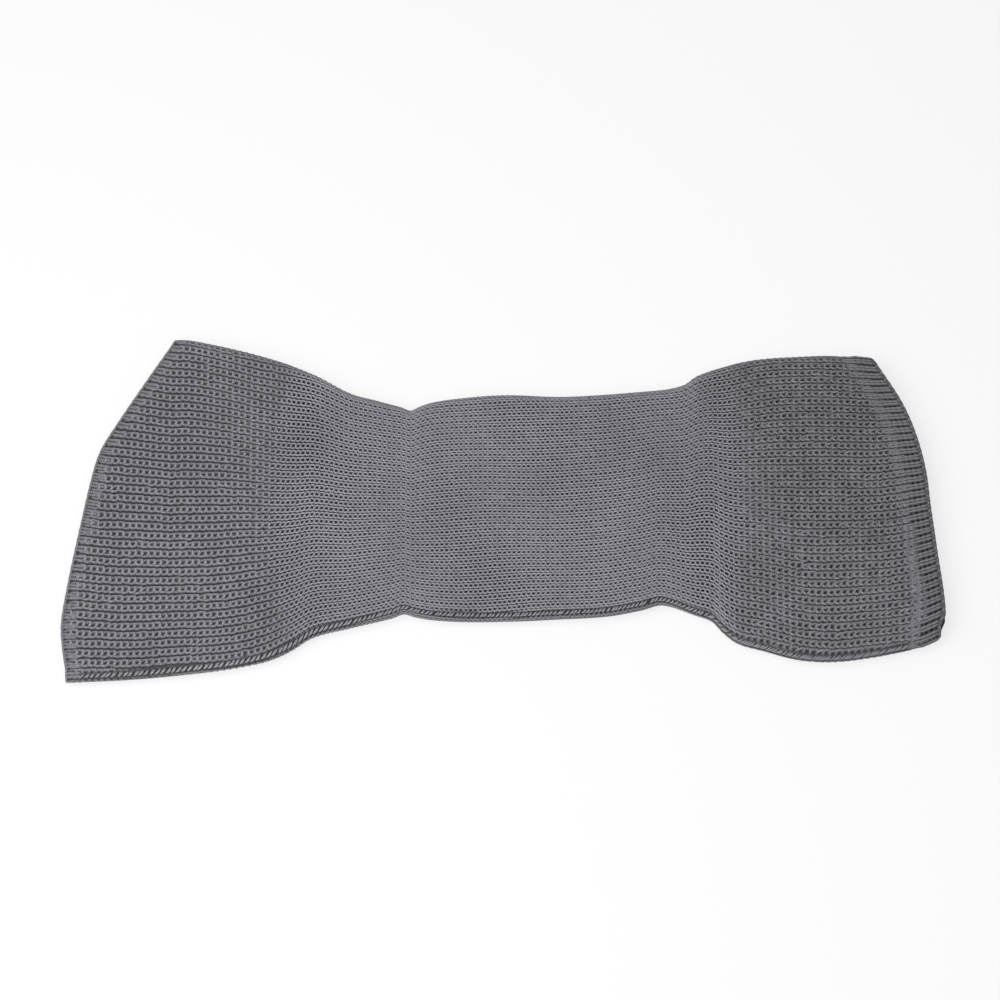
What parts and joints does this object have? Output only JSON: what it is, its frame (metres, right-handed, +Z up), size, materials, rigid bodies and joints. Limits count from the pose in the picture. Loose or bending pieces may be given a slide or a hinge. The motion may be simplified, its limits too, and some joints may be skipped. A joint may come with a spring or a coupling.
{
  "type": "knitted girth sleeve",
  "caption": "Grey rib-knit sleeve for a saddle girth: a flattened knitted tube, open at both ends, with a narrow waist, flared mouths, hemmed ends and a linked seam along one edge.",
  "frame": {"origin": "the middle of the waist's flat underside, where the sleeve lies on a table", "axes": "+X along the sleeve towards the mouth with the wider hem, +Y across it towards the folded edge with no seam, +Z up through both layers"},
  "size_m": [0.4994, 0.213, 0.0142],
  "materials": {
    "rib_knit": "soft ribbed knit of thick plied yarn, matt and slightly hairy",
    "hem_knit": "finer, tighter knit, turned over at the edge",
    "link_yarn": "chain of the same yarn in slanted stitches"
  },
  "bodies": {
    "waist": {"waist_top_leaf": "rib_knit", "waist_bottom_leaf": "rib_knit", "waist_far_fold": "rib_knit", "waist_near_fold": "rib_knit", "waist_seam": "link_yarn", "left_flex": "rib_knit", "right_flex": "rib_knit", "left_flex_seam": "link_yarn", "right_flex_seam": "link_yarn"},
    "left_wing": {"left_bottom_leaf": "rib_knit", "left_bottom_hem": "hem_knit", "left_far_fold": "rib_knit", "left_near_fold": "rib_knit", "left_seam": "link_yarn"},
    "right_wing": {"right_bottom_leaf": "rib_knit", "right_bottom_hem": "hem_knit", "right_far_fold": "rib_knit", "right_near_fold": "rib_knit", "right_seam": "link_yarn"},
    "left_lip": {"left_top_leaf": "rib_knit", "left_top_hem": "hem_knit"},
    "right_lip": {"right_top_leaf": "rib_knit", "right_top_hem": "hem_knit"}
  },
  "joints": [
    {"name": "left_fold", "type": "hinge", "parent": "waist", "child": "left_wing", "pos_m": [-0.054, 0, 0.0065], "axis": [0, 1, 0], "range_deg": [-90, 100], "deforming": ["left_flex", "left_flex_seam"]},
    {"name": "right_fold", "type": "hinge", "parent": "waist", "child": "right_wing", "pos_m": [0.098, 0, 0.0065], "axis": [0, -1, 0], "range_deg": [-90, 100], "deforming": ["right_flex", "right_flex_seam"]},
    {"name": "left_mouth_lift", "type": "hinge", "parent": "left_wing", "child": "left_lip", "pos_m": [-0.0693, 0, 0.013], "axis": [0, 1, 0], "range_deg": [0, 13]},
    {"name": "right_mouth_lift", "type": "hinge", "parent": "right_wing", "child": "right_lip", "pos_m": [0.1133, 0, 0.013], "axis": [0, -1, 0], "range_deg": [0, 17]}
  ]
}
